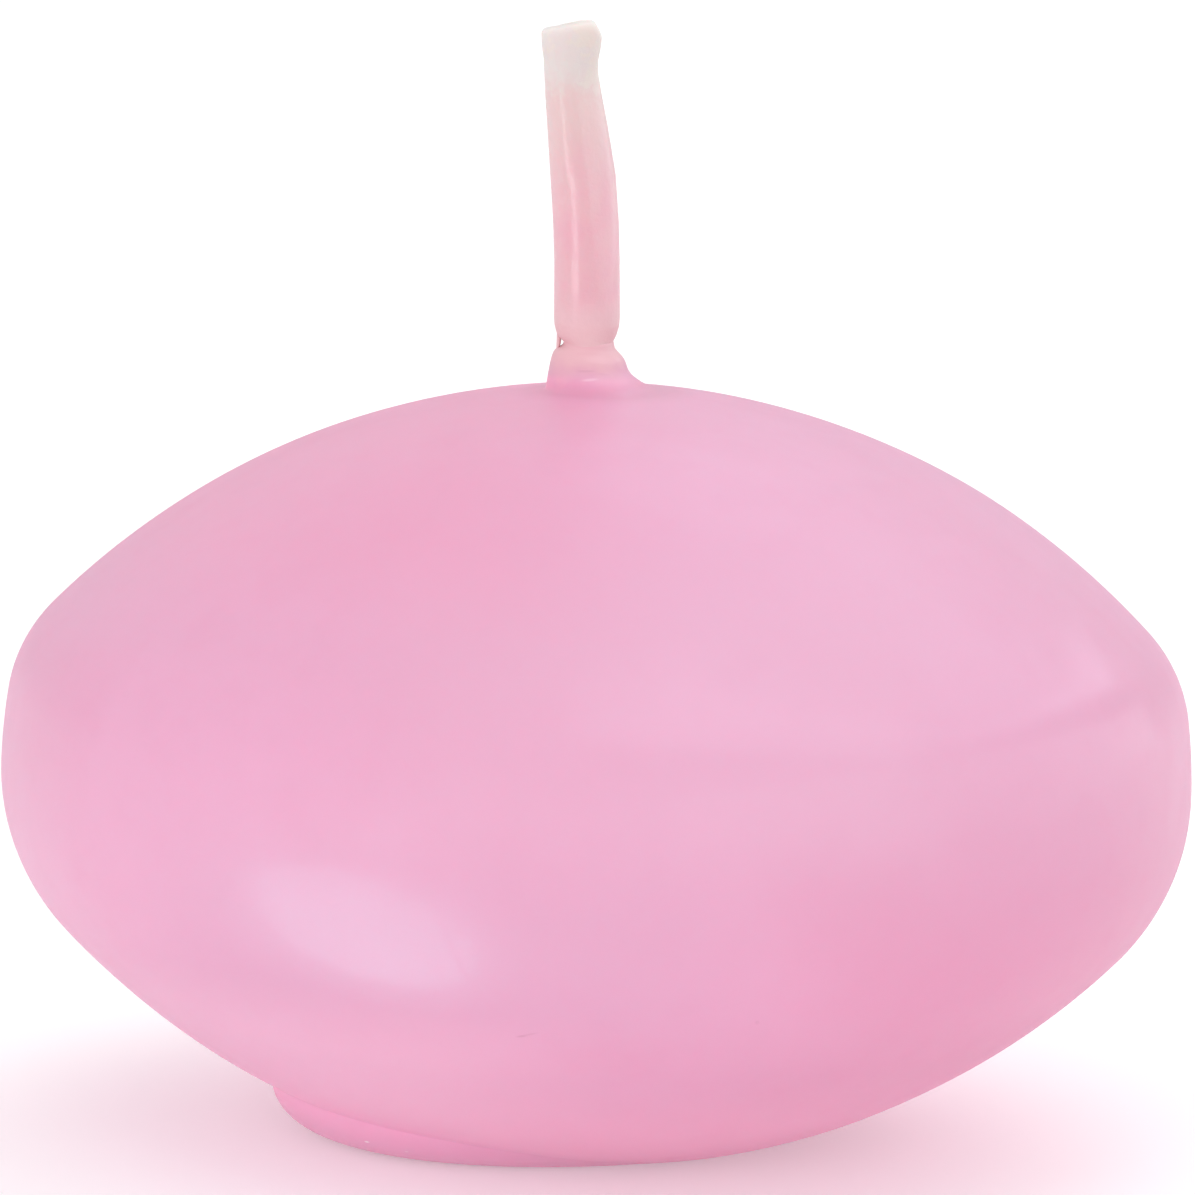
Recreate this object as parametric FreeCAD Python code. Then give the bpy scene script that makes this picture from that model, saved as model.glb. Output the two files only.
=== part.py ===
import FreeCAD, Part
import math
import os

# Floating candle, in millimetres, +Z up. It stands on z = 0, and the lens-shaped body turns about the Z axis.
# The viewer of the photograph looks along +Y, so -X is the left of the picture.

# overall: the width of the wax, the height up to the cut tip of the wick, and the height of the wax on its own
body_dia = 45.0
overall_h = 41.92
body_h = 28.25

# body: a pressed lens of wax with a rounded band at its widest height
equator_z = 13.0
dome_rise = body_h - equator_z
dome_r = 28.8
belly_drop = 13.95
belly_r = 27.75
band_crown_r = 23.5
shoulder_r = 5.35
chine_r = 8.2
toe_r = 0.6

# foot: the shallow round pad of wax under the body, where the dipped candle was set down off centre
pad_x = -3.3
pad_y = -1.3
pad_dia = 17.3
pad_edge_w = 2.4
pad_edge_h = 1.75
pad_top_z = 2.6

# collar: the low mound of wax around the wick, steep on the left and flared on the right
collar_h = 1.58
collar_r = 1.58
collar_brow_h = 0.45
collar_crown_r = 1.34
collar_crown_h = 1.03
skirt_shift = 0.45
skirt_r = 2.15
skirt_sink = 0.12
skirt_bow_r = 1.29
skirt_bow_h = 0.29
skirt_top_r = 1.02
skirt_top_h = 0.68

# wick: a round braid, bare inside the body and coated with wax above the collar
wick_x = -0.77
wick_r = 0.9
coat_r = 1.24
waist_r = 1.0
tip_r = 1.14
wick_rise = overall_h - body_h - collar_h
wick_lean = -1.0
coat_gap = 0.14
coat_lip = 0.75
snip_tilt = 14.0
nick_tilt = 50.0
nick_w = 0.62

# sustainer: the pressed disc with a crimped neck that holds the foot of the wick inside the wax
plate_dia = 13.0
plate_t = 0.25
plate_z = 0.6
neck_h = 4.0
neck_bend = 0.4
crimp_z = 2.6
crimp_depth = 0.14
crimp_w = 1.1
crimp_land = 0.4

# The wax is cast and dipped around the wick and the sustainer, so they fit with no clearance.
cast_gap = 0.0


def at(radius, z):
    """Point of a half section, in the XZ plane."""
    return FreeCAD.Vector(radius, 0, z)


def line(start, end):
    return Part.LineSegment(start, end).toShape()


def arc(centre, radius, start, end):
    """Arc of a half section between two angles in radians."""
    middle = (start + end) / 2
    ends = [at(centre[0] + radius * math.cos(a), centre[1] + radius * math.sin(a)) for a in (start, middle, end)]
    return Part.Arc(*ends).toShape()


def bow(start, start_way, middle, end, end_way):
    """Smooth edge through three points, with the way it leaves the first and reaches the last."""
    curve = Part.BSplineCurve()
    ways = [FreeCAD.Vector(*start_way), FreeCAD.Vector(0, 0, 0), FreeCAD.Vector(*end_way)]
    curve.interpolate(Points=[start, middle, end], Tangents=ways, TangentFlags=[True, False, True])
    return curve.toShape()


def bearing(start, end):
    """Angle of the way from one point of the half section to another."""
    return math.atan2(end[1] - start[1], end[0] - start[0])


def turned(edges, x=0.0, y=0.0):
    """Solid turned from a closed half section, about an upright axis at x, y."""
    face = Part.Face(Part.Wire(Part.__sortEdges__(edges)))
    solid = face.revolve(FreeCAD.Vector(0, 0, 0), FreeCAD.Vector(0, 0, 1), 360)
    solid.translate(FreeCAD.Vector(x, y, 0))
    return solid


def corner_centre(centre_a, reach_a, centre_b, reach_b):
    """Outer one of the two points that lie at the given distances from two centres."""
    step = math.hypot(centre_b[0] - centre_a[0], centre_b[1] - centre_a[1])
    along = (reach_a ** 2 - reach_b ** 2 + step ** 2) / (2 * step)
    aside = math.sqrt(reach_a ** 2 - along ** 2)
    way = ((centre_b[0] - centre_a[0]) / step, (centre_b[1] - centre_a[1]) / step)
    side = 1 if way[1] < 0 else -1
    x = centre_a[0] + along * way[0] - side * aside * way[1]
    z = centre_a[1] + along * way[1] + side * aside * way[0]
    return (x, z)


def lens():
    """Body of the candle: dome, shoulder, band, chine, belly and toe as one run of touching arcs."""
    dome = (0.0, equator_z + dome_rise - dome_r)
    band = (body_dia / 2 - band_crown_r, equator_z)
    belly = (0.0, equator_z - belly_drop + belly_r)
    shoulder = corner_centre(band, band_crown_r - shoulder_r, dome, dome_r - shoulder_r)
    chine = corner_centre(band, band_crown_r - chine_r, belly, belly_r - chine_r)
    toe = (math.sqrt((belly_r - toe_r) ** 2 - (belly[1] - toe_r) ** 2), toe_r)
    on_dome = bearing(dome, shoulder)
    above_band = bearing(band, shoulder)
    below_band = bearing(band, chine)
    on_belly = bearing(belly, chine)
    off_belly = bearing(belly, toe)
    edges = [
        arc(dome, dome_r, math.pi / 2, on_dome),
        arc(shoulder, shoulder_r, on_dome, above_band),
        arc(band, band_crown_r, above_band, below_band),
        arc(chine, chine_r, below_band, on_belly),
        arc(belly, belly_r, on_belly, off_belly),
        arc(toe, toe_r, off_belly, -math.pi / 2),
        line(at(toe[0], 0), at(0, 0)),
        line(at(0, 0), at(0, dome[1] + dome_r)),
    ]
    return turned(edges)


def foot_pad():
    """Pad under the body, flush with its flat, with a soft rounded edge."""
    rim = pad_dia / 2
    flat = rim - pad_edge_w
    slant = math.pi / 4
    middle = at(flat + pad_edge_w * math.sin(slant), pad_edge_h * (1 - math.cos(slant)))
    edges = [
        line(at(0, 0), at(flat, 0)),
        bow(at(flat, 0), (1, 0, 0), middle, at(rim, pad_edge_h), (0, 0, 1)),
        line(at(rim, pad_edge_h), at(rim, pad_top_z)),
        line(at(rim, pad_top_z), at(0, pad_top_z)),
        line(at(0, pad_top_z), at(0, 0)),
    ]
    return turned(edges, pad_x, pad_y)


def collar_stub():
    """Rounded stub that stands steeply on the dome around the wick."""
    apex = equator_z + dome_rise
    root = apex - collar_h
    brow = at(collar_r, apex + collar_brow_h)
    crown = at(collar_crown_r, apex + collar_crown_h)
    lip = at(wick_r, apex + collar_h)
    edges = [
        line(at(0, root), at(collar_r, root)),
        line(at(collar_r, root), brow),
        bow(brow, (0, 0, 1), crown, lip, (-1, 0, 1)),
        line(lip, at(0, apex + collar_h)),
        line(at(0, apex + collar_h), at(0, root)),
    ]
    return turned(edges, wick_x)


def collar_skirt():
    """Hollow flare from the stub into the dome, shifted to the right so that the left side stays steep."""
    apex = equator_z + dome_rise
    root = apex - collar_h
    hem = at(skirt_r, apex - skirt_sink)
    top = at(skirt_top_r, apex + skirt_top_h)
    edges = [
        line(at(0, root), at(skirt_r, root)),
        line(at(skirt_r, root), hem),
        bow(hem, (-1, 0, 0), at(skirt_bow_r, apex + skirt_bow_h), top, (0, 0, 1)),
        line(top, at(0, apex + skirt_top_h)),
        line(at(0, apex + skirt_top_h), at(0, root)),
    ]
    return turned(edges, wick_x + skirt_shift)


def crimp(radius):
    """Groove that the crimping tool presses into a round wall, from its lower to its upper end."""
    marks = [
        at(radius, crimp_z - crimp_w / 2),
        at(radius - crimp_depth, crimp_z - crimp_land / 2),
        at(radius - crimp_depth, crimp_z + crimp_land / 2),
        at(radius, crimp_z + crimp_w / 2),
    ]
    return [line(start, end) for start, end in zip(marks, marks[1:])]


def wick_core(gap=0.0):
    """Braid from the sustainer up to the collar, squeezed where the neck is crimped on it."""
    top = equator_z + dome_rise + collar_h + coat_gap + coat_lip
    radius = wick_r + gap
    edges = [
        line(at(0, plate_z), at(radius, plate_z)),
        line(at(radius, plate_z), at(radius, crimp_z - crimp_w / 2)),
        line(at(radius, crimp_z + crimp_w / 2), at(radius, top)),
        line(at(radius, top), at(0, top)),
        line(at(0, top), at(0, plate_z)),
    ]
    return turned(edges + crimp(radius), wick_x)


def ring(x, z, radius):
    return Part.Wire(Part.makeCircle(radius, FreeCAD.Vector(x, 0, z), FreeCAD.Vector(0, 0, 1)))


def snipped(solid, x, z, tilt):
    """Solid less all that lies above a plane through x, z, which is turned about the view by an angle in degrees."""
    way = FreeCAD.Vector(math.sin(math.radians(tilt)), 0, math.cos(math.radians(tilt)))
    size = 6 * coat_r
    return solid.cut(Part.makeCylinder(size, size, FreeCAD.Vector(x, 0, z), way))


def wick_coated():
    """Coated part above the collar: it leans to the left, thins towards the top and ends in a swollen cut tip."""
    start = equator_z + dome_rise + collar_h + coat_gap
    run = wick_rise - coat_gap
    # share of the height, share of the lean, radius
    rows = (
        (0.0, 0.06, (wick_r + coat_r) / 2),
        (0.06, 0.11, coat_r),
        (0.26, 0.17, coat_r),
        (0.54, 0.42, coat_r),
        (0.68, 0.68, (coat_r + waist_r) / 2),
        (0.78, 0.87, (coat_r + 3 * waist_r) / 4),
        (0.86, 0.99, waist_r),
        (0.94, 1.0, tip_r),
        (1.04, 1.0, tip_r),
    )
    rings = [ring(wick_x + wick_lean * lean, start + run * share, radius) for share, lean, radius in rows]
    shaft = Part.makeLoft(rings, True, True)
    peak_x = wick_x + wick_lean + tip_r - nick_w
    peak_z = start + run
    return snipped(snipped(shaft, peak_x, peak_z, -snip_tilt), peak_x, peak_z, nick_tilt)


def wick():
    return wick_core().fuse(wick_coated()).removeSplitter()


def wick_sustainer():
    """Pressed disc with a drawn neck, crimped on the braid."""
    outer = wick_r + plate_t
    foot = plate_z + plate_t
    rim = plate_dia / 2
    edges = [
        line(at(0, plate_z), at(rim, plate_z)),
        line(at(rim, plate_z), at(rim, foot)),
        line(at(rim, foot), at(outer + neck_bend, foot)),
        line(at(outer + neck_bend, foot), at(outer, foot + neck_bend)),
        line(at(outer, foot + neck_bend), at(outer, crimp_z - crimp_w / 2)),
        line(at(outer, crimp_z + crimp_w / 2), at(outer, plate_z + neck_h)),
        line(at(outer, plate_z + neck_h), at(0, plate_z + neck_h)),
        line(at(0, plate_z + neck_h), at(0, plate_z)),
    ]
    return turned(edges + crimp(outer), wick_x).cut(wick_core(cast_gap))


def wax_body():
    """One solid of wax: lens, foot and collar, cast around the wick and its sustainer."""
    wax = lens().fuse(foot_pad()).fuse(collar_stub()).fuse(collar_skirt())
    return wax.cut(wick_core(cast_gap)).cut(wick_sustainer()).removeSplitter()


NODES = {
    "wax_body": wax_body,
    "wick": wick,
    "wick_sustainer": wick_sustainer,
}

os.makedirs("parts", exist_ok=True)
for name, make in NODES.items():
    solid = make()
    solid.exportStep("parts/" + name + ".step")
    print(name, len(solid.Solids), round(solid.Volume, 2), solid.BoundBox)
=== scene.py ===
import math

import bmesh
import bpy
from mathutils import Matrix, Vector, noise


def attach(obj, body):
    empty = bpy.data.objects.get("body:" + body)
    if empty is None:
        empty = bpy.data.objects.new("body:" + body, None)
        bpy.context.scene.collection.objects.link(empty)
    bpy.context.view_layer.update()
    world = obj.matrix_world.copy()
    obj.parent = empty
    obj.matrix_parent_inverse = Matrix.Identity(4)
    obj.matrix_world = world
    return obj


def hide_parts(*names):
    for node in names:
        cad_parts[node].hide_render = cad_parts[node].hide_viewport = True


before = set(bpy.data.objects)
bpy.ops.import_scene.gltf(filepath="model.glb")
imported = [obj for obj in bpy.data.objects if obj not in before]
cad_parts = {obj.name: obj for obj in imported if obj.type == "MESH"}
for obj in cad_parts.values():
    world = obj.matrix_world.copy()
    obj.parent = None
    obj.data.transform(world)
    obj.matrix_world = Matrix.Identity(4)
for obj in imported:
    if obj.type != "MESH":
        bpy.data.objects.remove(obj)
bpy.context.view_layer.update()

MM = 0.001

# Body of the candle: one lens of pressed wax that was dipped in pink wax. The low mound around the wick and
# the shallow pad that it stands on, both off centre, are part of the same wax. Its channel for the wick is
# left closed here, because the wick fills it.
equator_z = 13.0 * MM
body_r = 22.5 * MM
dome_r = 28.8 * MM
dome_z = equator_z + 15.25 * MM - dome_r
belly_r = 27.75 * MM
belly_z = equator_z - 13.95 * MM + belly_r
band_r = 23.5 * MM
shoulder_r = 5.35 * MM
chine_r = 8.2 * MM
apex_z = dome_z + dome_r
pad_x, pad_y = -3.3 * MM, -1.3 * MM
pad_r = 8.65 * MM
pad_edge_w = 2.4 * MM
pad_edge_h = 1.75 * MM
wick_x = -0.77 * MM
collar_top = apex_z + 1.58 * MM
wax_steps = 256


def rise(edge0, edge1, value):
    """Smooth step from 0 at edge0 to 1 at edge1."""
    share = min(max((value - edge0) / (edge1 - edge0), 0.0), 1.0)
    return share * share * (3 - 2 * share)


def dome_at(x, y):
    """Height of the dome over a point of the XY plane."""
    return dome_z + math.sqrt(dome_r ** 2 - x * x - y * y)


def belly_at(x, y):
    """Height of the belly over a point of the XY plane."""
    return belly_z - math.sqrt(belly_r ** 2 - x * x - y * y)


def touching(centre_a, reach_a, centre_b, reach_b):
    """Outer point at the given distances from two centres: the middle of a corner between two arcs."""
    way = Vector(centre_b) - Vector(centre_a)
    step = way.length
    way.normalize()
    along = (reach_a ** 2 - reach_b ** 2 + step ** 2) / (2 * step)
    aside = math.sqrt(reach_a ** 2 - along ** 2)
    middle = Vector(centre_a) + way * along
    across = Vector((-way.y, way.x))
    return max((middle + across * aside, middle - across * aside), key=lambda point: point.x)


def bearing(start, end):
    """Direction from one point of the half section to another, in radians."""
    return math.atan2(end[1] - start[1], end[0] - start[0])


def go(bm, vert, x, z):
    """Carry the half section on from its last point, straight to a new one."""
    made = bmesh.ops.extrude_vert_indiv(bm, verts=[vert])["verts"][0]
    made.co = (x, 0, z)
    return made


def swing(bm, vert, centre, angle, steps):
    """Carry the half section on from its last point, round a centre in the XZ plane."""
    made = bmesh.ops.spin(bm, geom=[vert], cent=(centre[0], 0, centre[1]), axis=(0, -1, 0), angle=angle,
                          steps=steps, use_duplicate=False)
    return next(part for part in made["geom_last"] if isinstance(part, bmesh.types.BMVert))


dome = Vector((0, dome_z))
band = Vector((body_r - band_r, equator_z))
belly = Vector((0, belly_z))
shoulder = touching(band, band_r - shoulder_r, dome, dome_r - shoulder_r)
chine = touching(band, band_r - chine_r, belly, belly_r - chine_r)

wax_bm = bmesh.new()
tip = wax_bm.verts.new((0, 0, 0))
flat_r = pad_r - pad_edge_w
flat_rings = 8
for ring in range(1, flat_rings + 1):
    tip = go(wax_bm, tip, flat_r * ring / flat_rings, 0)
# the pad's edge is a quarter of a circle, flattened
pad_start = set(wax_bm.verts)
tip = swing(wax_bm, tip, (flat_r, pad_edge_w), math.pi / 2, 16)
for vert in wax_bm.verts:
    if vert not in pad_start:
        vert.co.z *= pad_edge_h / pad_edge_w
# close rows where the pad runs into the belly
pad_seam = (0.04, 0.1, 0.2, 0.35, 0.55, 0.8)
for out in pad_seam:
    tip = go(wax_bm, tip, pad_r + out * MM, belly_at(pad_r + out * MM, 0))
tip = swing(wax_bm, tip, belly, bearing(belly, chine) - bearing(belly, (tip.co.x, tip.co.z)), 26)
tip = swing(wax_bm, tip, chine, bearing(band, chine) - bearing(belly, chine), 26)
tip = swing(wax_bm, tip, band, bearing(band, shoulder) - bearing(band, chine), 14)
tip = swing(wax_bm, tip, shoulder, bearing(dome, shoulder) - bearing(band, shoulder), 22)
# the dome ends under the mound
skirt_r = 2.9 * MM
skirt = Vector((skirt_r, dome_at(skirt_r, 0)))
tip = swing(wax_bm, tip, dome, bearing(dome, skirt) - bearing(dome, shoulder), 46)
collar_rows = (
    # height over the dome's top, radius on the steep left side, radius on the flared right side
    (0.05, 1.585, 2.6), (0.1, 1.575, 2.38), (0.16, 1.565, 2.2), (0.23, 1.555, 2.05), (0.31, 1.545, 1.91),
    (0.4, 1.53, 1.77), (0.5, 1.515, 1.64), (0.62, 1.49, 1.54), (0.74, 1.47, 1.475), (0.86, 1.45, 1.43),
    (0.98, 1.425, 1.385), (1.09, 1.4, 1.33), (1.19, 1.37, 1.25), (1.28, 1.335, 1.17), (1.36, 1.29, 1.09),
    (1.42, 1.23, 1.03), (1.47, 1.15, 0.99), (1.52, 1.06, 0.965), (1.58, 0.995, 0.95), (1.64, 0.965, 0.94),
    (1.7, 0.95, 0.93), (1.77, 0.93, 0.895), (1.76, 0.7, 0.7), (1.74, 0.4, 0.4), (1.72, 0.0, 0.0),
)
for height, steep, flared in collar_rows:
    tip = go(wax_bm, tip, flared * MM, apex_z + height * MM)
bmesh.ops.spin(wax_bm, geom=wax_bm.verts[:] + wax_bm.edges[:], cent=(0, 0, 0), axis=(0, 0, 1),
               angle=math.tau, steps=wax_steps, use_merge=True, use_duplicate=False)
bmesh.ops.remove_doubles(wax_bm, verts=wax_bm.verts, dist=0.002 * MM)


# the mound's hem is this far from the wick in mm on the left, and so much further on the right; from there to
# settle_r the rows of the dome are spread evenly
hem_left, hem_more_right = 1.6, 1.3
side_bias = 0.8
settle_r = 5.2 * MM
# the dome moves over to the wick by its full way within the first radius, and not at all beyond the second
shift_near, shift_far = 3 * MM, 12 * MM
# between these heights in mm the mound's rows turn from following the dome's slope to lying level
slope_to, level_from = 0.1, 0.8
# between these heights in mm the neck grows deeper from front to back by this share, to meet the wick's lip
neck_from, neck_to, neck_fuller = 1.26, 1.66, 0.205
# radii closer than this belong to one row
same_row = 0.01 * MM


def around_wick(x, y, z, radius):
    """Where a point of the dome or of the mound lies, with the mound's steep left and flared right side."""
    share = (0.5 + 0.5 * x / radius) ** side_bias if radius > 0 else 0.5
    height = (z - apex_z) / MM
    near = min(collar_rows, key=lambda row: abs(row[0] - height) + abs(row[2] - radius / MM))
    if radius < skirt_r - same_row:
        reach = (near[1] + (near[2] - near[1]) * share) * MM
        size = reach / radius if radius > 0 else 0
        x, y = x * size + wick_x, y * size
        sink = (apex_z - dome_at(x, y)) * (1 - rise(slope_to, level_from, near[0]))
        fuller = 1 + neck_fuller * rise(neck_from, neck_to, near[0])
        return Vector((x, y * fuller, apex_z + near[0] * MM - sink))
    hem = (hem_left + hem_more_right * share) * MM
    reach = radius
    if radius <= settle_r:
        reach = settle_r - (settle_r - radius) * (settle_r - hem) / (settle_r - skirt_r)
    x, y = x * reach / radius, y * reach / radius
    shift = wick_x * (1 - rise(shift_near, shift_far, radius))
    return Vector((x + shift, y, z + dome_at(x + shift, y) - dome_at(radius, 0)))


def rounding(gap, soft):
    """How far the corner between two surfaces is cut back or filled, where they lie a gap apart."""
    near = max(soft - abs(gap), 0.0) / soft
    return near * near * near * soft / 6


# points above the first height belong to the dome with its mound, those below the second to the belly with
# its pad
mound_zone = equator_z + 8 * MM
pad_zone = 5 * MM
# the pad's shift off the centre fades out by this radius, and its wall runs on this steeply into the belly
pad_fade_r = 15 * MM
pad_wall = 40
# the seam between pad and belly is rounded by so many mm all round and by so many more at the front, which
# starts and is full this far from the pad's middle; the lower edge of the pad is only just rounded
seam_soft, seam_softer = 0.22, 0.6
front_from, front_full = 2.0 * MM, 6.5 * MM
toe_soft = 0.25 * MM


def placed(vert):
    """Where a point of the turned lens lies on the real one, with its mound and its pad off centre."""
    x, y, z = vert.co
    radius = math.hypot(x, y)
    if z > mound_zone:
        return around_wick(x, y, z, radius)
    if z < pad_zone:
        share = 1 - rise(pad_r + pad_seam[-1] * MM, pad_fade_r, radius)
        x, y = x + pad_x * share, y + pad_y * share
        body = belly_at(x, y)
        pad = pad_edge_h + (radius - pad_r) * pad_wall if radius > pad_r + same_row else z
        soft = (seam_soft + seam_softer * rise(front_from, front_full, pad_y - y)) * MM
        z = min(pad, body) - rounding(pad - body, soft)
        z = max(z, 0.0) + (rounding(z, toe_soft) if radius > flat_r else 0)
    return Vector((x, y, z))


for vert in wax_bm.verts:
    vert.co = placed(vert)
bmesh.ops.recalc_face_normals(wax_bm, faces=wax_bm.faces)

# uneven thickness of the dipped coat, and two small folds in the front of the mound
coat_from, coat_full = 0.3 * MM, 2.5 * MM
swell_size, swell_flat, swell_deep = 9 * MM, 1.4, 0.045
ripple_size, ripple_deep = 3.6 * MM, 0.008
mound_calm = 0.8
mound_from, mound_full = apex_z - 0.2 * MM, apex_z + 0.3 * MM
# each fold's height over the dome's top, place beside the wick and depth, then the slope and half sizes that
# both share, in mm
folds_from = apex_z + 0.2 * MM
fold_rows = ((0.74, -0.45, 0.05), (0.52, -0.4, -0.03))
fold_slope, fold_high, fold_wide = 0.08, 0.07, 0.42
wax_bm.normal_update()
for vert in wax_bm.verts:
    x, y, z = vert.co
    if z > coat_from:
        swell = noise.noise(Vector((x, y, z * swell_flat)) / swell_size) * swell_deep
        swell += noise.noise(vert.co / ripple_size) * ripple_deep
        swell *= rise(coat_from, coat_full, z) * (1 - mound_calm * rise(mound_from, mound_full, z))
        vert.co += vert.normal * swell * MM
    if z > folds_from and y < 0:
        for fold_z, fold_x, deep in fold_rows:
            beside = (x - wick_x) / MM - fold_x
            far = ((z - apex_z) / MM - fold_z - fold_slope * beside) / fold_high
            vert.co.y += deep * MM * math.exp(-far * far - (beside / fold_wide) ** 4)

wax_mesh = bpy.data.meshes.new("wax_body_dipped")
wax_bm.to_mesh(wax_mesh)
wax_bm.free()
wax_mesh.shade_smooth()
wax = bpy.data.objects.new("wax_body_dipped", wax_mesh)
bpy.context.scene.collection.objects.link(wax)


class Signal:
    """Output socket of a node: sums, differences, products and powers of it are Math nodes of its tree."""

    def __init__(self, tree, socket=None):
        self.tree = tree
        self.socket = socket

    def node(self, kind, settings=None, inputs=None, output=0):
        """New node in the tree: its settings first, then the values or links of its sockets."""
        made = self.tree.nodes.new(kind)
        for name, value in (settings or {}).items():
            setattr(made, name, value)
        for name, value in (inputs or {}).items():
            if isinstance(value, Signal):
                self.tree.links.new(value.socket, made.inputs[name])
            else:
                made.inputs[name].default_value = value
        return Signal(self.tree, made.outputs[output] if made.outputs else None)

    def math(self, operation, first, second=0.0):
        """Math node, for what has no operator here, such as a square root."""
        return self.node("ShaderNodeMath", {"operation": operation}, {0: first, 1: second})

    def __add__(self, other):
        return self.math("ADD", self, other)

    __radd__ = __add__

    def __sub__(self, other):
        return self.math("SUBTRACT", self, other)

    def __rsub__(self, other):
        return self.math("SUBTRACT", other, self)

    def __mul__(self, other):
        return self.math("MULTIPLY", self, other)

    __rmul__ = __mul__

    def __truediv__(self, other):
        return self.math("DIVIDE", self, other)

    def __pow__(self, other):
        return self.math("POWER", self, other)

    def between(self, low, high):
        """Smooth 0 to 1 as the value goes from low to high."""
        return self.node("ShaderNodeMapRange", {"interpolation_type": "SMOOTHSTEP"},
                         {"Value": self, "From Min": low, "From Max": high})

    def mixed(self, first, second):
        """Colour that goes from the first to the second as this value goes from 0 to 1."""
        return self.node("ShaderNodeMix", {"data_type": "RGBA"}, {0: self, 6: first, 7: second}, output=2)


def blank_material(name):
    """New material without nodes, and a start in its tree from which its nodes are made."""
    material = bpy.data.materials.new(name)
    material.use_nodes = True
    material.node_tree.nodes.clear()
    return material, Signal(material.node_tree)


def place_of(start):
    """Object coordinates in millimetres as a vector, and its three parts."""
    where = start.node("ShaderNodeTexCoord", output=3)
    where = start.node("ShaderNodeVectorMath", {"operation": "SCALE"}, {0: where, "Scale": 1000.0})
    parts = [start.node("ShaderNodeSeparateXYZ", inputs={0: where}, output=side) for side in range(3)]
    return where, parts


def noise_of(where, scale, detail, roughness=0.5):
    """Noise around 0.5, with blots of about 1 / scale millimetres."""
    return where.node("ShaderNodeTexNoise", inputs={
        "Vector": where, "Scale": scale, "Detail": detail, "Roughness": roughness})


wax_pink = (0.775, 0.36, 0.535, 1)
wax_pale = (0.785, 0.38, 0.56, 1)
wax_deep_and_shade = (0.735, 0.26, 0.425, 1)
wax_thin = (0.845, 0.49, 0.54, 1)
wax_shade_and_marks = (0.64, 0.29, 0.415, 1)
wax_lit_waist = (0.785, 0.42, 0.585, 1)
wax_shaded_crown = (0.84, 0.34, 0.51, 1)
wax_dull = (0.69, 0.345, 0.505, 1)
wax_lit_low = (0.95, 0.45, 0.635, 1)
wax_lit_lower_left = (0.9, 0.52, 0.68, 1)
wax_lit_pad = (0.84, 0.4, 0.578, 1)
wax_fold_highlight = (0.93, 0.7, 0.78, 1)
wax_speck = (0.93, 0.75, 0.8, 1)

wax_material, start = blank_material("dipped_wax")
where, (px, py, pz) = place_of(start)
cloud = noise_of(where, 0.11, 2.0)
mottle = noise_of(where, 0.6, 3.0, 0.55)
# faint clouds and mottles all over, and painted shade: a deeper pink towards the lower right
tone = cloud.between(0.35, 0.65).mixed(wax_pink, wax_pale)
tone = (mottle.between(0.45, 0.75) * 0.06).mixed(tone, wax_deep_and_shade)
painted_shade_low_right = (px * 0.6 - py * 0.4 - pz * 0.7).between(0.0, 14.0)
tone = (painted_shade_low_right * 0.5).mixed(tone, wax_deep_and_shade)
# painted shade, with some pooled dye, in a ring at the foot of the mound; the coat on top of the mound is thin
# and warm
ring_x = -0.25
from_wick = start.math("SQRT", (px - ring_x) ** 2.0 + py ** 2.0)
shade = (1 - from_wick.between(2.1, 3.9)) * (1 - pz.between(28.35, 28.75))
tone = (shade * 0.6).mixed(tone, wax_shade_and_marks)
edge_height = pz + (mottle - 0.5) * 1.6 + px * 0.1 - px.between(-0.5, 1.2) * 0.5
thin = (1 - from_wick.between(2.1, 2.6)) * edge_height.between(28.2, 29.4)
tone = thin.mixed(tone, wax_thin)
# painted light and shade over the body: paler round the waist, warmer on the left of the crown, deeper low on
# the right, lighter near the pad and at the lower left, and a lighter pad; the wax is also duller below the
# waist on the left
# painted light: paler round the waist, towards the right
waist = pz.between(12.0, 17.0) * (1 - pz.between(21.0, 26.0))
waist = waist * px.between(-11.0, -4.0) * (1 - px.between(9.0, 15.0))
tone = (waist * 0.5).mixed(tone, wax_lit_waist)
# painted shade: a warmer, deeper pink on the left of the crown
crown = pz.between(20.0, 24.0) * (1 - px.between(-6.0, 4.0)) * from_wick.between(2.5, 5.0)
tone = (crown * 0.4).mixed(tone, wax_shaded_crown)
# painted shade: deeper low on the right
shaded_right_side = px.between(5.0, 17.0) * (1 - pz.between(8.0, 14.5))
tone = (shaded_right_side * 0.45).mixed(tone, wax_deep_and_shade)
left_side = (1 - pz.between(11.0, 16.0)) * pz.between(6.0, 9.0)
left_side = left_side * (1 - px.between(0.0, 8.0)) * px.between(-18.0, -12.0)
tone = (left_side * 0.5).mixed(tone, wax_dull)
# painted light: lighter near the pad, as if lit from the floor
low = 1 - pz.between(1.6, 5.5)
tone = (low * 0.8).mixed(tone, wax_lit_low)
# painted light: lighter at the lower left
lit_lower_left = (1 - pz.between(5.5, 9.0)) * (1 - px.between(-7.5, 2.5))
tone = (lit_lower_left * 0.42).mixed(tone, wax_lit_lower_left)
# painted light: the pad lighter than the body's own pink
from_pad = start.math("SQRT", (px - pad_x / MM) ** 2.0 + (py - pad_y / MM) ** 2.0)
tone = (low * (1 - from_pad.between(8.3, 9.7))).mixed(tone, wax_lit_pad)


def mark(x, z, wide, high, slope=0.0):
    """Mask of a small mark on the front of the wax, with its middle, half sizes and slope in millimetres."""
    along = (px - x) / wide
    across = (pz - z - (px - x) * slope) / high
    far = start.math("SQRT", along * along + across * across)
    return (1 - far.between(0.3, 1.0)) * (1 - py.between(-1.0, 0.0))
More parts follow.
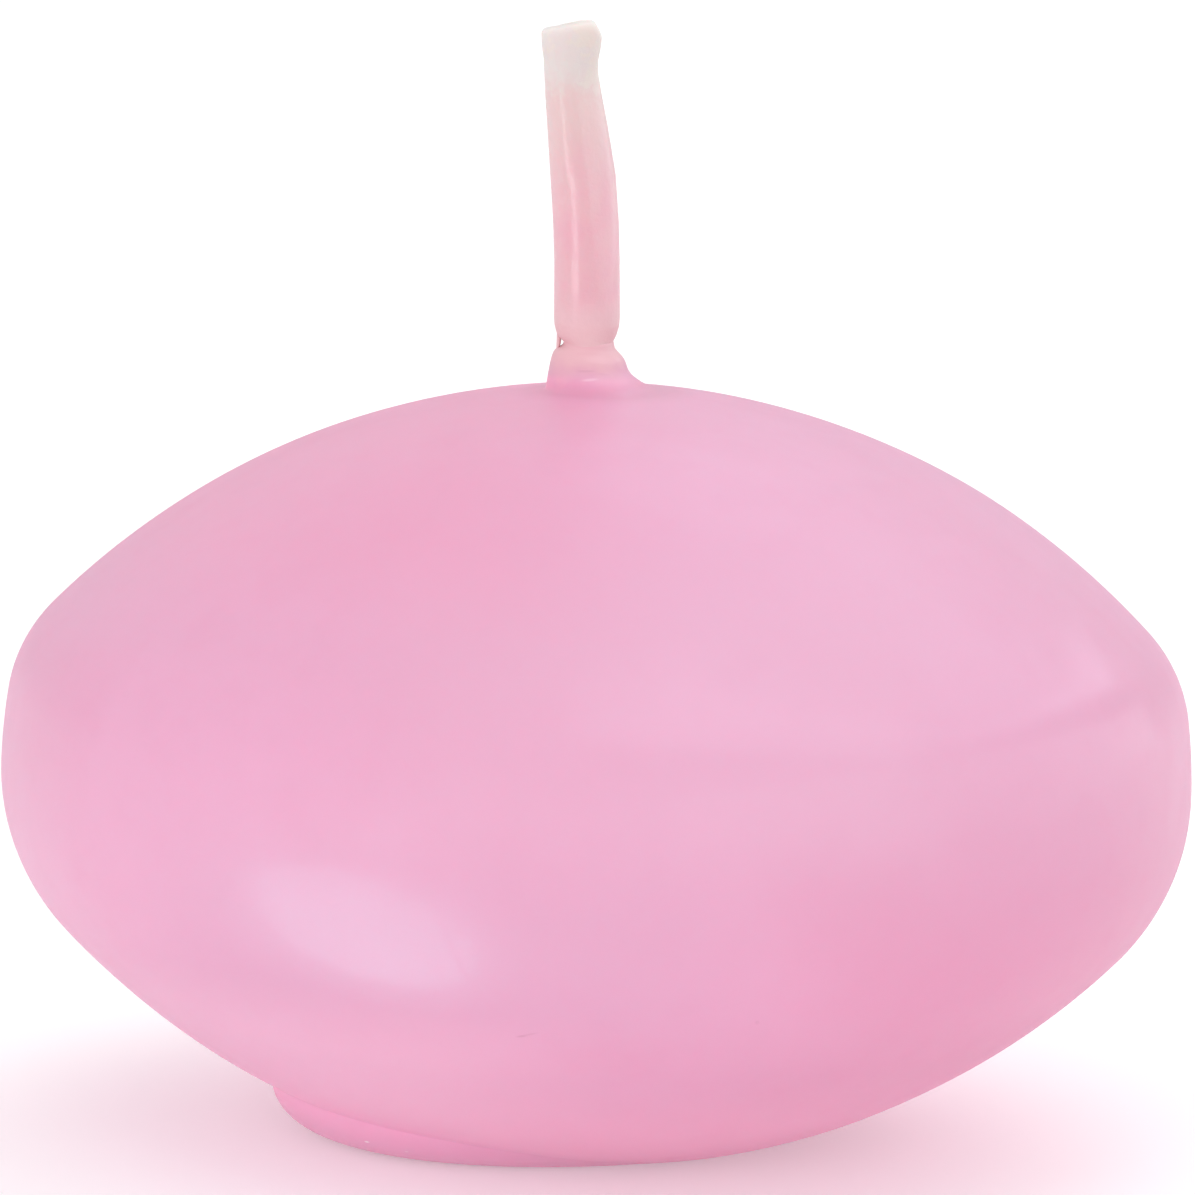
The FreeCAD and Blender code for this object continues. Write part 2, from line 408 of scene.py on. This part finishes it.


# a scratch and a dot on the belly, painted shade in the creases of the mound's folds and a painted highlight
# along the lower fold, and two specks on the pad
scratch = mark(-2.15, 7.53, 0.5, 0.06, 0.32) + mark(-2.38, 7.44, 0.26, 0.07, 0.1)
tone = (scratch * 0.4).mixed(tone, wax_shade_and_marks)
tone = (mark(5.94, 8.19, 0.12, 0.12) * 0.3).mixed(tone, wax_shade_and_marks)
# painted shade in the folds' creases
folds = mark(-0.85, 29.0, 0.45, 0.06, 0.05) + mark(-0.2, 28.9, 0.3, 0.05, -0.1) * 0.5
tone = (folds * 0.3).mixed(tone, wax_shade_and_marks)
# painted highlight along the lower fold
tone = (mark(-0.7, 28.7, 0.42, 0.07, 0.1) * 0.35).mixed(tone, wax_fold_highlight)
specks = mark(-8.1, 0.8, 0.13, 0.06) + mark(-6.6, 0.62, 0.09, 0.05) * 0.4
tone = specks.mixed(tone, wax_speck)
# the gloss fades towards the outline
rim = start.node("ShaderNodeLayerWeight", inputs={"Blend": 0.5}, output=1)
wax_skin = {
    "Base Color": tone,
    "Roughness": 0.385 + mottle * 0.1,
    "Normal": start.node("ShaderNodeBump", inputs={"Strength": 0.25, "Distance": 0.00005, "Height": mottle}),
    "IOR": 1.44,
    "Specular IOR Level": 0.35,
    "Coat Weight": 0.35 - rim.between(0.6, 0.95) * 0.33,
    "Coat Roughness": 0.15,
    "Coat IOR": 1.4,
}
wax_depth = {"Subsurface Weight": 1.0, "Subsurface Radius": (1.0, 0.2, 0.3), "Subsurface Scale": 0.008}
body_shader = start.node("ShaderNodeBsdfPrincipled", {"subsurface_method": "BURLEY"}, wax_skin | wax_depth)
# light spreads in the body only: round the mound it would be gathered from dark wax hidden in the wick's coat
mound_shader = start.node("ShaderNodeBsdfPrincipled", {}, wax_skin)
on_mound = pz.between(28.45, 28.85)
wax_shader = start.node("ShaderNodeMixShader", {}, {0: on_mound, 1: body_shader, 2: mound_shader})
start.node("ShaderNodeOutputMaterial", inputs={"Surface": wax_shader})
wax_mesh.materials.append(wax_material)
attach(wax, "root")
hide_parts("wax_body")

# Wick: a round cotton braid that runs down through the wax, which holds it. Its dipped coat ends below in a lip
# over the collar; above that the wick leans to the left, and its bare tip was cut askew.
wick_rows = (
    # height over the collar, centre, radius to the sides, radius front to back, all in mm
    (-1.2, -0.77, 0.9, 0.9),
    (-0.12, -0.77, 0.9, 1.12),
    (0.0, -0.78, 0.91, 1.145),
    (0.1, -0.8, 0.925, 1.15),
    (0.18, -0.83, 0.965, 1.155),
    (0.26, -0.86, 1.04, 1.16),
    (0.36, -0.87, 1.1, 1.167),
    (0.46, -0.88, 1.14, 1.175),
    (0.75, -0.88, 1.22, 1.2),
    (1.1, -0.885, 1.24, 1.22),
    (2.0, -0.91, 1.235, 1.22),
    (3.2, -0.945, 1.23, 1.21),
    (4.7, -1.03, 1.235, 1.2),
    (6.4, -1.19, 1.23, 1.18),
    (7.4, -1.33, 1.18, 1.14),
    (8.3, -1.46, 1.13, 1.1),
    (9.4, -1.635, 1.06, 1.05),
    (10.2, -1.74, 1.01, 1.02),
    (10.7, -1.765, 1.02, 1.03),
    (11.1, -1.765, 1.09, 1.07),
    (11.45, -1.765, 1.135, 1.09),
)
wick_low, wick_high = wick_rows[0][0], wick_rows[-1][0]
end_height = 11.55
end_rows = ((0.99, 11.5), (0.96, 11.53), (0.9, end_height), (0.8, end_height), (0.6, end_height),
            (0.4, end_height), (0.2, end_height), (0.0, end_height))
wick_bm = bmesh.new()
tip = wick_bm.verts.new((0, 0, wick_low))
for radius in (0.3, 0.6, 0.85, 1.0):
    tip = go(wick_bm, tip, radius, wick_low)
wick_rings = 118
for ring in range(1, wick_rings + 1):
    tip = go(wick_bm, tip, 1.0, wick_low + (wick_high - wick_low) * ring / wick_rings)
for radius, height in end_rows:
    tip = go(wick_bm, tip, radius, height)
bmesh.ops.spin(wick_bm, geom=wick_bm.verts[:] + wick_bm.edges[:], cent=(0, 0, 0), axis=(0, 0, 1),
               angle=math.tau, steps=96, use_merge=True, use_duplicate=False)
bmesh.ops.remove_doubles(wick_bm, verts=wick_bm.verts, dist=0.0001)


def along_wick(height):
    """Centre and radii of the wick at a height over the collar, in a straight line between the rows."""
    for low, high in zip(wick_rows, wick_rows[1:]):
        if height <= high[0]:
            share = (height - low[0]) / (high[0] - low[0])
            return [a + (b - a) * share for a, b in zip(low[1:], high[1:])]
    return wick_rows[-1][1:]


# two snips made the tip: a gentle one that falls to the left, and a steep one that falls to the right
cut_base = 41.0 * MM
gentle_x, gentle_z, gentle_slope = -2.945 * MM, 41.62 * MM, 0.2
steep_x, steep_z, steep_slope = -0.98 * MM, 42.02 * MM, 1.6
cut_soft = 0.4 * MM
fibre_size, fibre_high = 0.42 * MM, 0.05


def cut_height(x, y):
    """Height of the cut end over a point of the XY plane, with its loose fibres."""
    gentle = gentle_z + (x - gentle_x) * gentle_slope
    steep = steep_z - (x - steep_x) * steep_slope
    ragged = noise.noise(Vector((x, y, 0)) / fibre_size) * fibre_high * MM
    return min(gentle, steep) - rounding(gentle - steep, cut_soft) + ragged


for vert in wick_bm.verts:
    x, y, height = vert.co
    centre, wide, deep = along_wick(height)
    z = collar_top + height * MM
    x, y = (centre + x * wide) * MM, y * deep * MM
    if z > cut_base:
        share = (z - cut_base) / (collar_top + end_height * MM - cut_base)
        z = cut_base + (cut_height(x, y) - cut_base) * min(share, 1.0)
    vert.co = (x, y, z)
# thin strand of wax that bridges the neck on the left: middle, half sizes and bow to the right, all in mm
strand_x, strand_z = -1.97, 30.02
strand_wide, strand_deep, strand_high, strand_bow = 0.09, 0.2, 0.44, 0.06
strand = bmesh.ops.create_uvsphere(wick_bm, u_segments=16, v_segments=24, radius=1.0)["verts"]
for vert in strand:
    x, y, z = vert.co
    bowed_x = strand_x + strand_wide * x + strand_bow * (1 - z * z)
    vert.co = (bowed_x * MM, strand_deep * y * MM, (strand_z + strand_high * z) * MM)
bmesh.ops.recalc_face_normals(wick_bm, faces=wick_bm.faces)
wick_mesh = bpy.data.meshes.new("wick_waxed")
wick_bm.to_mesh(wick_mesh)
wick_bm.free()
wick_mesh.shade_smooth()
wick = bpy.data.objects.new("wick_waxed", wick_mesh)
bpy.context.scene.collection.objects.link(wick)

coat_rosy = (0.79, 0.465, 0.53, 1)
coat_peach = (0.785, 0.52, 0.54, 1)
coat_beige = (0.84, 0.555, 0.575, 1)
coat_worn = (0.755, 0.57, 0.565, 1)
cotton_pale = (0.73, 0.67, 0.65, 1)
cotton_stained = (0.75, 0.69, 0.63, 1)

wick_material, start = blank_material("waxed_braid")
where, (px, py, pz) = place_of(start)
fuzz = noise_of(where, 2.2, 3.0, 0.6)
blotch = noise_of(where, 0.55, 3.0, 0.6)
# from the lip up: a beige end, rosy and peach blotches, a coat that wears thin, and the bare tip
beige = 1 - (pz + (blotch - 0.5) * 2.4).between(30.0, 32.2)
worn = (pz + (blotch - 0.5) * 3.0).between(34.4, 39.6)
bare = (pz + (fuzz - 0.5) * 1.2).between(38.9, 40.3)
stain = bare * (blotch + fuzz * 0.4 - 0.2).between(0.47, 0.53)
tone = (blotch.between(0.42, 0.62) * 0.5).mixed(coat_rosy, coat_peach)
tone = (beige * 0.95).mixed(tone, coat_beige)
tone = worn.mixed(tone, coat_worn)
tone = bare.mixed(tone, cotton_pale)
tone = (stain * 0.7).mixed(tone, cotton_stained)
# the coat shines down the middle of the wick, neither at its outline nor on the lip, and hardly on the tip
rim = start.node("ShaderNodeLayerWeight", inputs={"Blend": 0.5}, output=1)
lumps = fuzz * 0.6 + blotch * 0.4
wick_skin = {
    "Base Color": tone,
    "Roughness": 0.45 + bare * 0.2,
    "Normal": start.node("ShaderNodeBump", inputs={"Strength": 0.5, "Distance": 0.0001, "Height": lumps}),
    "IOR": 1.44,
    "Specular IOR Level": 0.2,
    "Coat Weight": (0.9 - bare * 0.8) * (1 - rim.between(0.4, 0.9) * 0.9) * pz.between(30.45, 30.9),
    "Coat Roughness": 0.07,
    "Coat IOR": 1.45,
}
wick_depth = {"Subsurface Weight": 1.0, "Subsurface Radius": (1.0, 0.6, 0.7), "Subsurface Scale": 0.0008}
braid_shader = start.node("ShaderNodeBsdfPrincipled", {"subsurface_method": "RANDOM_WALK"},
                          wick_skin | wick_depth)
# light doesn't spread in the lip either, so that it meets the mound in one tone
lip_shader = start.node("ShaderNodeBsdfPrincipled", {}, wick_skin)
above_lip = pz.between(30.8, 32.0)
wick_shader = start.node("ShaderNodeMixShader", {}, {0: above_lip, 1: lip_shader, 2: braid_shader})
start.node("ShaderNodeOutputMaterial", inputs={"Surface": wick_shader})
wick_mesh.materials.append(wick_material)
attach(wick, "root")
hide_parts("wick")

# Sustainer: the pressed tinplate disc whose crimped neck holds the lower end of the wick. It is sealed in the
# wax near the foot, out of sight, so it keeps the shape that the frame brings.
tin_dark = (0.6, 0.6, 0.58, 1)
tin_bright = (0.78, 0.78, 0.76, 1)
tin_material, start = blank_material("tinplate")
streak = noise_of(place_of(start)[0], 3.0, 3.0)
tin_shader = start.node("ShaderNodeBsdfPrincipled", {}, {
    "Base Color": streak.mixed(tin_dark, tin_bright),
    "Metallic": 1.0,
    "Roughness": 0.25 + streak * 0.15,
})
start.node("ShaderNodeOutputMaterial", inputs={"Surface": tin_shader})
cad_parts["wick_sustainer"].data.materials.clear()
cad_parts["wick_sustainer"].data.materials.append(tin_material)

# Studio: a plain pale floor in a bright even room, soft lights and cards, and a camera at the height that the
# photograph was taken from. The photograph leans by 1.7 degrees, and so does the camera.
floor_bm = bmesh.new()
bmesh.ops.create_grid(floor_bm, x_segments=1, y_segments=1, size=4.0)
floor_mesh = bpy.data.meshes.new("floor")
floor_bm.to_mesh(floor_mesh)
floor_bm.free()
floor = bpy.data.objects.new("floor", floor_mesh)
bpy.context.scene.collection.objects.link(floor)
floor_material, start = blank_material("floor_pale")
start.node("ShaderNodeOutputMaterial", inputs={"Surface": start.node("ShaderNodeBsdfPrincipled", {}, {
    "Base Color": (0.85, 0.85, 0.85, 1),
    "Roughness": 0.7,
    "Specular IOR Level": 0.2,
    "Emission Color": (1, 1, 1, 1),
    "Emission Strength": 0.24,
})})
floor_mesh.materials.append(floor_material)

world = bpy.data.worlds.new("room")
world.use_nodes = True
room_light = world.node_tree.nodes["Background"].inputs
room_light["Color"].default_value = (1, 1, 1, 1)
room_light["Strength"].default_value = 0.73
bpy.context.scene.world = world


def softbox(name, place, turn, width, height, power, colour=(1, 1, 1), shape="RECTANGLE"):
    """Flat studio light in metres and watts, which shines straight down until it is turned by degrees."""
    data = bpy.data.lights.new(name, "AREA")
    data.shape = shape
    data.size, data.size_y = width, height
    data.energy = power
    data.color = colour
    lamp = bpy.data.objects.new(name, data)
    lamp.location = place
    lamp.rotation_euler = [math.radians(angle) for angle in turn]
    lamp.visible_camera = False
    bpy.context.scene.collection.objects.link(lamp)
    return lamp


# a large panel over the right and two fills give the light and shade; five cool cards only show as gleams,
# and the three of them that lie on the floor face up
overhead = softbox("overhead_right", (0.24, 0.35, 0.4), (0, 0, 0), 0.52, 0.8, 1.25)
front_fill = softbox("front_fill", (-0.2216, -0.3838, 0.091), (80, 0, -30), 0.3, 0.2, 0.4, (0.95, 1, 1))
top_fill = softbox("top_fill", (-0.077, -0.1333, 0.436), (20, 0, -30), 0.3, 0.3, 0.22)
for fill in (overhead, front_fill, top_fill):
    fill.visible_glossy = False
overhead_card = softbox("overhead_card", (0.33, 0.2, 0.4), (0, 0, 0), 0.7, 1.1, 3.64, (0.85, 1, 1.15))
wall_card = softbox("wall_card", (0.386, -0.104, 0.09), (90, 0, 75), 1.4, 0.18, 1.05, (0.8, 1, 1.0))
table_card = softbox("table_card", (-0.0337, -0.0388, 0.001), (180, 0, 30.5), 0.0604, 0.0216, 0.013,
                     (0.4, 1, 1.02), "ELLIPSE")
table_glow = softbox("table_glow", (-0.05, -0.049, 0.001), (180, 0, 31), 0.105, 0.033, 0.006,
                     (0.4, 1, 1.02), "ELLIPSE")
far_card = softbox("far_card", (-0.194, -0.216, 0.001), (180, 0, 48), 0.09, 0.15, 0.11, (0.9, 1, 1), "ELLIPSE")
for card in (overhead_card, wall_card, table_card, table_glow, far_card):
    card.visible_diffuse = False

# the camera looks down by tilt, from reach away, and turns until the body's centre is seen at centre_px
centre = Vector((0, 0, equator_z))
tilt = math.radians(10.0)
roll = 0.0302
reach = 0.28
frame_px = 1195
centre_px = Vector((596.3, 786.75))
px_per_mm = 26.38
focal_px = px_per_mm / MM * reach
spot = centre_px - Vector((frame_px / 2, frame_px / 2))
across = spot.x * math.cos(roll) + spot.y * math.sin(roll)
down = spot.y * math.cos(roll) - spot.x * math.sin(roll)
camera_data = bpy.data.cameras.new("camera")
camera_data.sensor_width = 36
camera_data.lens = 36 * focal_px / frame_px
camera_data.clip_start = 0.01
camera = bpy.data.objects.new("camera", camera_data)
pitch = math.pi / 2 - tilt + math.atan(down / focal_px)
turn = (Matrix.Rotation(math.atan(across / focal_px), 4, "Z") @ Matrix.Rotation(pitch, 4, "X")
        @ Matrix.Rotation(roll, 4, "Z"))
camera.matrix_world = Matrix.Translation(centre + Vector((0, -math.cos(tilt), math.sin(tilt))) * reach) @ turn
bpy.context.scene.collection.objects.link(camera)
bpy.context.scene.camera = camera
bpy.context.scene.view_settings.view_transform = "Standard"

bpy.context.view_layer.update()
